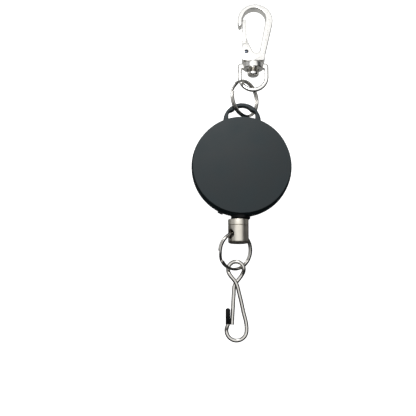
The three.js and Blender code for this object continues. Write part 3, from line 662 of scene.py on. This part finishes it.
# ---- wire hook -----------------------------------------------------------------------
# One 1.55 mm spring wire bent to an eye, crossed at the neck and bent to a hook, nickel plated.
# Its short leg springs inwards as the latch; the hook's end wears a black nylon tip.
WIRE_DIAMETER = 1.55
HOOK_EYE = (-2.27, -40.0, 3.6)
HOOK_PITCH = 5.8
EYE_RADIUS = 3.05
NECK_Y = -5.17
CROSSING = 0.85
EYE_TWIST = 0.45
LOOP_RADIUS = 3.9
LOOP_X = 0.2
LOOP_Y = -23.5
TIP_X = -3.13
TIP_Z = 0.5
TIP_RADIUS = 0.9

HOOK_FRAME = (Matrix.Translation(Vector(HOOK_EYE) * MM)
              @ Matrix.Rotation(math.radians(HOOK_PITCH), 4, "X"))
eye = []
for i, (x, y) in enumerate(arc(0, 0, EYE_RADIUS, EYE_RADIUS, -32, 212, 8)):
    side = i / 4 - 1
    eye.append((x, y, CROSSING * 0.8 * side ** 5 - EYE_TWIST * math.sin(math.pi * side)))
loop = [(x, y, 0) for x, y in arc(LOOP_X, LOOP_Y, LOOP_RADIUS, LOOP_RADIUS, 0, -180, 6)]
JOIN = (0.0, NECK_Y, -CROSSING)
long_leg = bent_wire([
    JOIN, *eye, (0, NECK_Y, CROSSING), (1.3, -9.5, 0.55), (2.7, -15.6, 0.15), *loop,
    (-3.5, -22.3, 0.3), (-3.15, -21.2, 0.5), (TIP_X, -20.6, 0.5),
], WIRE_DIAMETER, 8, 8)
settle(place(long_leg, turn=HOOK_FRAME), "hook_wire", "wire_hook", drawn_nickel,
       ["wire_hook"])

tip = turned([
    (0.6, -20.7), (TIP_RADIUS - 0.1, -21.1), (TIP_RADIUS, -21.0), (TIP_RADIUS, -15.7),
    *arc(0, -15.65, TIP_RADIUS, 0.8, 8, 84, 7),
], 32)
place(tip, turn=ALONG_Y)
place(tip, (TIP_X, 0, TIP_Z))
settle(place(tip, turn=HOOK_FRAME), "hook_wire_tip", "wire_hook", black_nylon,
       ["hook_tip"], 50)

short_leg = bent_wire([
    JOIN, (-0.62, -6.6, -CROSSING), (-0.85, -9.5, -0.75), (-1.2, -15.3, -0.55), (-1.55, -21.3, -0.45),
], WIRE_DIAMETER, 12, 8)
round_edges(short_leg, 0.3, 3, 60)
place(short_leg, turn=HOOK_FRAME)
settle(short_leg, "hook_latch_leg", None, drawn_nickel, ["hook_latch"])
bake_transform(short_leg)

# ---- swivel eye ----------------------------------------------------------------------
# A D-shaped eye, die-cast in zinc and bright nickel plated. Its thick straight bar is bored for
# the swivel stud, whose domed head shows inside the D.
SNAP_AXIS_X = 4.95
SNAP_HEAD_Z = 2.4
SNAP_FAR_Y = 67.4
SNAP_PITCH = 4.1
D_OUTER = 6.15
D_INNER = 4.55
D_CENTRE_Y = 36.9
D_BAR_BOTTOM = 40.15
D_BAR_TOP = 42.55
EYE_BOSS_RADIUS = 4.15
D_HALF_THICKNESS = 0.9
BOSS_ROUND = 0.35
STUD_RADIUS = 1.5
STUD_BORE_RADIUS = STUD_RADIUS + 0.06

SNAP_FRAME = (Matrix.Translation(Vector((SNAP_AXIS_X, SNAP_FAR_Y, SNAP_HEAD_Z)) * MM)
              @ Matrix.Rotation(-math.radians(SNAP_PITCH), 4, "X")
              @ Matrix.Translation(Vector((0, -SNAP_FAR_Y, 0)) * MM))

# Plated die casting: very bright nickel over a faintly wavy cast skin, with a few dull freckles.
cast_nickel, tree, shader = start_material("nickel_plated_casting", Metallic=1.0, Roughness=0.14)
position = add_node(tree, "TexCoord").outputs["Object"]
waves = add_node(tree, "TexNoise", {"Scale": 1 / (2.2 * MM), "Detail": 2.0}, {"Vector": position})
freckles = add_node(tree, "TexNoise", {"Scale": 1 / (0.6 * MM), "Detail": 4.0}, {"Vector": position})
plating = add_node(tree, "ValToRGB", links={"Fac": freckles.outputs["Fac"]})
plating.color_ramp.elements[0].position, plating.color_ramp.elements[1].position = 0.25, 0.5
plating.color_ramp.elements[0].color = linear("dad7d1")
plating.color_ramp.elements[1].color = linear("f2f0ec")
gloss = add_node(tree, "MapRange", {"From Min": 0.3, "From Max": 0.7, "To Min": 0.22, "To Max": 0.1},
                 {"Value": freckles.outputs["Fac"]})
relief = add_node(tree, "Bump", {"Strength": 0.25, "Distance": 0.08 * MM},
                  {"Height": waves.outputs["Fac"]})
tree.links.new(plating.outputs["Color"], shader.inputs["Base Color"])
tree.links.new(gloss.outputs["Result"], shader.inputs["Roughness"])
tree.links.new(relief.outputs["Normal"], shader.inputs["Normal"])

d_loop = drawn_plate([
    (D_OUTER, D_BAR_TOP - 1.0), (D_OUTER - 0.3, D_BAR_TOP - 0.3), (D_OUTER - 1.0, D_BAR_TOP),
    (1.0 - D_OUTER, D_BAR_TOP), (0.3 - D_OUTER, D_BAR_TOP - 0.3), (-D_OUTER, D_BAR_TOP - 1.0),
    *arc(0, D_CENTRE_Y, D_OUTER, D_OUTER, 180, 360, 40),
], -D_HALF_THICKNESS, D_HALF_THICKNESS)
carve(d_loop, drawn_plate([(D_INNER, D_BAR_BOTTOM), *arc(0, D_CENTRE_Y, D_INNER, D_INNER, 0, -180, 36),
                           (-D_INNER, D_BAR_BOTTOM)], -3, 3))
round_edges(d_loop, 0.62, 4)
eye_boss = turned([
    (EYE_BOSS_RADIUS - BOSS_ROUND, D_BAR_BOTTOM),
    *arc(EYE_BOSS_RADIUS - BOSS_ROUND, D_BAR_BOTTOM + BOSS_ROUND, BOSS_ROUND, BOSS_ROUND, -75, 0, 5),
    *arc(EYE_BOSS_RADIUS - BOSS_ROUND, D_BAR_TOP - BOSS_ROUND, BOSS_ROUND, BOSS_ROUND, 0, 90, 6),
], 64)
carve(d_loop, place(eye_boss, turn=ALONG_Y), "UNION")
bore = turned([
    (2.95, 39), (2.9, D_BAR_BOTTOM + 0.5), (STUD_BORE_RADIUS, D_BAR_BOTTOM + 0.5), (STUD_BORE_RADIUS, 44),
], 48)
carve(d_loop, place(bore, turn=ALONG_Y))
settle(place(d_loop, turn=SNAP_FRAME), "d_eye", "swivel_eye", cast_nickel,
       ["swivel_eye"], 50)

stud = turned([
    (STUD_RADIUS, 45.6), (STUD_RADIUS, D_BAR_BOTTOM + 0.4), (1.75, D_BAR_BOTTOM + 0.4), (1.75, 39.5),
    *arc(2.25, 39.45, 0.5, 0.5, 175, 265, 5), (2.34, 38.75),
    *arc(1.25, 38.3, 1.1, 1.15, 5, -84, 9), (0.6, 37.1),
], 48)
settle(place(stud, turn=SNAP_FRAME @ ALONG_Y), "domed_stud", "snap_hook", cast_nickel,
       ["swivel_stud"], 50)

# ---- snap hook -----------------------------------------------------------------------
# The hook's body is a thick zinc casting, nickel plated and tumbled, so every edge is round. Its
# neck turns on the stud; a slot beside the neck takes the root of the gate, on a blued rivet.
SNAP_THICKNESS = 4.6
BODY_BOTTOM = 43.15
BODY_CENTRE_X = 0.95
BODY_TOP_CENTRE_Y = 60.35
BODY_TOP_RADIUS = 7.05
OPENING_RADIUS = 4.55
OPENING_X = 0.65
OPENING_Y = 61.2
PIN_X = -2.72
PIN_Y = 47.0
PIN_RADIUS = 0.84
GATE_SLOT = 1.05

body = drawn_plate([
    (-4.0, BODY_BOTTOM), (4.1, BODY_BOTTOM), (4.7, BODY_BOTTOM + 0.6), (4.85, 46),
    *arc(BODY_CENTRE_X, BODY_TOP_CENTRE_Y, BODY_TOP_RADIUS, BODY_TOP_RADIUS, -14, 197, 52),
    (-5.35, 57.75), (-4.35, 58.4), (-4.3, 61.1),
    *arc(OPENING_X, OPENING_Y, OPENING_RADIUS, OPENING_RADIUS, 158, -12, 36),
    (2.95, 48.9), *arc(1.25, 48.1, 1.65, 1.65, -8, -148, 14), (-1.6, 50.3), (-2.5, 50.9),
    (-4.2, 50.3), (-4.45, 49.0), (-4.45, BODY_BOTTOM + 0.5),
], -SNAP_THICKNESS / 2, SNAP_THICKNESS / 2)
round_edges(body, 0.8, 4)
boss = place(turned([(2.6, D_BAR_TOP + 0.2), (2.6, BODY_BOTTOM + 0.4)], 48), turn=ALONG_Y)
carve(body, boss, "UNION")
carve(body, drawn_plate([(-6, 44.9), (-0.2, 44.9), (-0.2, 52), (-6, 52)], -GATE_SLOT, GATE_SLOT))
carve(body, place(turned([(PIN_RADIUS + 0.02, -4), (PIN_RADIUS + 0.02, 4)], 32), (PIN_X, PIN_Y, 0)))
settle(place(body, turn=SNAP_FRAME), "snap_hook_casting", "snap_hook", cast_nickel,
       ["snap_hook_body"], 50)

rivet_half = SNAP_THICKNESS / 2 + 0.15
rivet = place(turned([
    (PIN_RADIUS - 0.3, -rivet_half), (PIN_RADIUS, 0.2 - rivet_half), (PIN_RADIUS, rivet_half - 0.2),
    (PIN_RADIUS - 0.3, rivet_half),
], 32), (PIN_X, PIN_Y, 0))
settle(place(rivet, turn=SNAP_FRAME), "gate_rivet", "snap_hook", blued_steel, ["gate_pin"], 50)

# ---- gate and its spring -------------------------------------------------------------
# A cast bar that closes the hook's mouth inside the nose. Its thin root turns on the rivet, and
# a bent strip of blued steel in the slot behind the root pushes it shut and bends as it opens.
GATE_HALF_THICKNESS = 1.6
ROOT_HALF_THICKNESS = 0.95
STRIP_HALF_WIDTH = 0.7

gate = drawn_plate([
    (-4.25, 51.4), (-2.55, 51.4), (-2.6, 60.4), (-2.85, 60.85), (-3.2, 61.05), (-3.8, 60.95),
    (-4.15, 60.6), (-4.22, 58.3),
], -GATE_HALF_THICKNESS, GATE_HALF_THICKNESS)
round_edges(gate, 0.45, 4)
root = drawn_plate([
    *arc(PIN_X, PIN_Y, 1.5, 1.5, -180, 0, 20), (-1.5, 50.5), (-2.3, 53), (-4.2, 53),
], -ROOT_HALF_THICKNESS, ROOT_HALF_THICKNESS)
round_edges(root, 0.15, 2)
carve(gate, root, "UNION")
carve(gate, place(turned([(PIN_RADIUS + 0.06, -4), (PIN_RADIUS + 0.06, 4)], 32), (PIN_X, PIN_Y, 0)))
settle(place(gate, turn=SNAP_FRAME), "hook_gate", "gate", cast_nickel, ["gate"], 50)

spring_strip = drawn_plate([
    (-0.85, 45.9), (-0.6, 45.9), (-0.6, 47.4), (-0.75, 48.3), (-1.0, 49.6), (-1.22, 49.6),
    (-0.98, 48.3), (-0.85, 47.4),
], -STRIP_HALF_WIDTH, STRIP_HALF_WIDTH)
round_edges(spring_strip, 0.05, 1)
settle(place(spring_strip, turn=SNAP_FRAME), "gate_return_spring", None, blued_steel,
       ["gate_spring"])
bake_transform(spring_strip)

# ---- floor and light -----------------------------------------------------------------
# A plain pale sweep of studio paper a little below the reel, so that its swinging ends clear it.
# The light is a soft dome, brightest overhead and falling off to a dark horizon, which gives the
# plated pieces their dark outlines, and one small lamp. The eye sees paper and dome as plain white.
PAPER_DROP = 34
PAPER_SHADE_AT = -50
PAPER_LIGHT_AT = 60
LAMP_PLACE = (-0.02, 0.065, 0.11)
LAMP_SIZE = 0.05
LAMP_POWER = 0.06
HORIZON_GLOW = 0.03

# Matt paper: plain white to the eye. What the plated pieces mirror of it is painted shade, graded
# from dark under the wire hook to light under the snap hook.
paper, tree, shader = start_material("matt_studio_paper", Roughness=0.9)
position = add_node(tree, "TexCoord").outputs["Object"]
fibres = add_node(tree, "TexNoise", {"Scale": 1 / (2 * MM), "Detail": 3.0}, {"Vector": position})
pulp = add_node(tree, "ValToRGB", links={"Fac": fibres.outputs["Fac"]})
pulp.color_ramp.elements[0].color = linear("f7f7f6")
pulp.color_ramp.elements[1].color = linear("fcfcfb")
tree.links.new(pulp.outputs["Color"], shader.inputs["Base Color"])
shader.inputs["Emission Color"].default_value = linear("ffffff")
shader.inputs["Emission Strength"].default_value = 0.85
spot = add_node(tree, "SeparateXYZ", links={0: position})
toward_lug = add_node(tree, "MapRange",
                      {"From Min": PAPER_SHADE_AT * MM, "From Max": PAPER_LIGHT_AT * MM},
                      {"Value": spot.outputs["Y"]}, interpolation_type="SMOOTHSTEP")
# Painted shade: the paper that the pieces mirror is painted dark under the wire hook and lightens towards
# the snap hook.
painted_shade_grade = add_node(tree, "Mix", {6: linear("3a3a3a"), 7: linear("c8c8c6")},
                  {0: toward_lug.outputs["Result"]}, data_type="RGBA")
reflected = add_node(tree, "BsdfDiffuse", links={"Color": painted_shade_grade.outputs[2]})
seen = add_node(tree, "LightPath").outputs["Is Camera Ray"]
either = add_node(tree, "MixShader",
                  links={0: seen, 1: reflected.outputs["BSDF"], 2: shader.outputs["BSDF"]})
tree.links.new(either.outputs["Shader"], tree.nodes["Material Output"].inputs["Surface"])

bpy.ops.object.select_all(action="DESELECT")
bpy.ops.mesh.primitive_plane_add(size=6, location=(0, 0, -PAPER_DROP * MM))
floor = bpy.context.object
floor.name = "studio_paper"
floor.data.materials.append(paper)

world = bpy.data.worlds.new("studio")
bpy.context.scene.world = world
world.use_nodes = True
tree = world.node_tree
sky = add_node(tree, "TexCoord").outputs["Generated"]
# Each glow has a direction, the cosines where it starts and where it is full, and its strength.
glows = []
for toward, edge, core, strength in (
    ((0.0, 0.17, 1.0), 0.55, 0.90, 1.05),
    ((0.0, 1.0, 0.1), 0.0, 0.8, 0.10),
    ((-0.95, 0.20, 0.22), 0.80, 0.98, 0.45),
):
    facing = add_node(tree, "VectorMath", {1: Vector(toward).normalized()}, {0: sky},
                      operation="DOT_PRODUCT")
    glows.append(add_node(tree, "MapRange", {"From Min": edge, "From Max": core, "To Max": strength},
                          {"Value": facing.outputs["Value"]}, interpolation_type="SMOOTHSTEP"))
dome = add_node(tree, "Math", {1: HORIZON_GLOW}, {0: glows[0].outputs["Result"]}, operation="ADD")
for glow in glows[1:]:
    dome = add_node(tree, "Math", links={0: dome.outputs["Value"], 1: glow.outputs["Result"]},
                    operation="ADD")
seen = add_node(tree, "LightPath").outputs["Is Camera Ray"]
brightness = add_node(tree, "Mix", {3: 1.0}, {0: seen, 2: dome.outputs["Value"]})
background = tree.nodes["Background"]
background.inputs["Color"].default_value = linear("fdfeff")
tree.links.new(brightness.outputs[0], background.inputs["Strength"])

# A small lamp beyond the lug looks at the reel and brightens the near sides of the plated pieces.
bpy.ops.object.light_add(type="AREA", location=LAMP_PLACE)
lamp = bpy.context.object
lamp.name = "lug_side_lamp"
lamp.data.size = LAMP_SIZE
lamp.data.energy = LAMP_POWER
lamp.visible_camera = False
lamp.rotation_euler = (-Vector(LAMP_PLACE)).to_track_quat("-Z", "Y").to_euler()
bpy.context.scene.view_settings.view_transform = "Standard"
